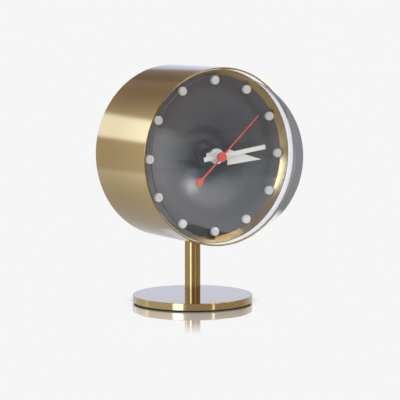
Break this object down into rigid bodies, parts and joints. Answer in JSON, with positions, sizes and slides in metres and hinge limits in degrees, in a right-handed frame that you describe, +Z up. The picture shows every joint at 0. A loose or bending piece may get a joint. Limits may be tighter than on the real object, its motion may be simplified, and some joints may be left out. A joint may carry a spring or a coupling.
{
  "type": "desk clock",
  "caption": "Desk clock: brushed brass drum on a short stem and round foot, clear domed lens over a sunk dark dial with raised dots, pale hands and a red second hand, quartz movement behind.",
  "frame": {"origin": "centre of the foot's underside, on the table plane, on the stem's axis", "axes": "+Z up along the stem, the dial faces -Y, +X to the right for someone facing the dial"},
  "size_m": [0.105, 0.1122, 0.1429],
  "materials": {
    "brass": "brushed round the axis",
    "pad": "matt",
    "steel": "plated",
    "clear": "clear polished acrylic",
    "dial": "satin paint",
    "pale": "satin paint",
    "red": "satin paint",
    "black_plate": "fine texture",
    "turned_brass": "turned",
    "box": "fine moulded texture",
    "white_moulding": "moulded",
    "winding": "enamelled copper wire",
    "board": "lacquered",
    "cell": "plain printed sleeve"
  },
  "bodies": {
    "case": {"base_disc": "brass", "base_pad": "pad", "base_screw": "steel", "stem": "brass", "stem_screw": "steel", "saddle_washer": "steel", "drum_case": "brass", "lens": "clear", "bezel_ring": "brass", "dial": "dial", "hour_dots": "pale", "pillars": "steel", "back_plate": "black_plate", "back_plate_screws": "steel", "dial_nut": "black_plate", "dial_washer": "black_plate", "threaded_bush": "turned_brass", "movement_tray": "box", "movement_lid": "box", "middle_plate": "white_moulding", "stator": "steel", "coil": "winding", "coil_core": "steel", "circuit_board": "board", "quartz_crystal": "steel", "battery": "cell", "contact_plus": "steel", "contact_minus": "steel"},
    "hour": {"hour_wheel": "white_moulding", "hour_hand": "pale"},
    "minute": {"cannon_pinion": "white_moulding", "minute_hand": "pale", "clutch_washer": "turned_brass"},
    "second": {"second_wheel": "white_moulding", "second_hand": "red"},
    "minute_wheel": {"minute_wheel": "white_moulding"},
    "third": {"third_wheel": "white_moulding"},
    "fifth": {"fifth_wheel": "white_moulding"},
    "rotor": {"rotor": "white_moulding"},
    "centre": {"centre_wheel": "white_moulding"},
    "knob": {"set_knob": "box"}
  },
  "joints": [
    {"name": "second_hand_turn", "type": "hinge", "parent": "case", "child": "second", "pos_m": [0, 0, 0.0904], "axis": [0, 1, 0], "continuous": true},
    {"name": "minute_hand_turn", "type": "hinge", "parent": "case", "child": "minute", "pos_m": [0, 0, 0.0904], "axis": [0, 1, 0], "continuous": true},
    {"name": "hour_hand_turn", "type": "hinge", "parent": "case", "child": "hour", "pos_m": [0, 0, 0.0904], "axis": [0, 1, 0], "continuous": true},
    {"name": "minute_wheel_turn", "type": "hinge", "parent": "case", "child": "minute_wheel", "pos_m": [0.0096, 0, 0.0904], "axis": [0, 1, 0], "continuous": true},
    {"name": "knob_turn", "type": "hinge", "parent": "case", "child": "knob", "pos_m": [0.01791, 0, 0.0952], "axis": [0, 1, 0], "continuous": true},
    {"name": "centre_wheel_turn", "type": "hinge", "parent": "case", "child": "centre", "pos_m": [0, 0, 0.0904], "axis": [0, 1, 0], "continuous": true},
    {"name": "third_wheel_turn", "type": "hinge", "parent": "case", "child": "third", "pos_m": [-0.0106, 0, 0.09652], "axis": [0, 1, 0], "continuous": true},
    {"name": "fifth_wheel_turn", "type": "hinge", "parent": "case", "child": "fifth", "pos_m": [0.0051, 0, 0.09923], "axis": [0, 1, 0], "continuous": true},
    {"name": "rotor_turn", "type": "hinge", "parent": "case", "child": "rotor", "pos_m": [0.00364, 0, 0.10751], "axis": [0, 1, 0], "continuous": true}
  ],
  "couplings": [
    {"joint": "hour_hand_turn", "follows": "minute_hand_turn", "ratio": 0.083333},
    {"joint": "minute_wheel_turn", "follows": "minute_hand_turn", "ratio": -0.33333},
    {"joint": "knob_turn", "follows": "minute_hand_turn", "ratio": 1},
    {"joint": "centre_wheel_turn", "follows": "second_hand_turn", "ratio": 0.016667},
    {"joint": "third_wheel_turn", "follows": "second_hand_turn", "ratio": -0.13333},
    {"joint": "fifth_wheel_turn", "follows": "second_hand_turn", "ratio": -5},
    {"joint": "rotor_turn", "follows": "second_hand_turn", "ratio": 30}
  ]
}
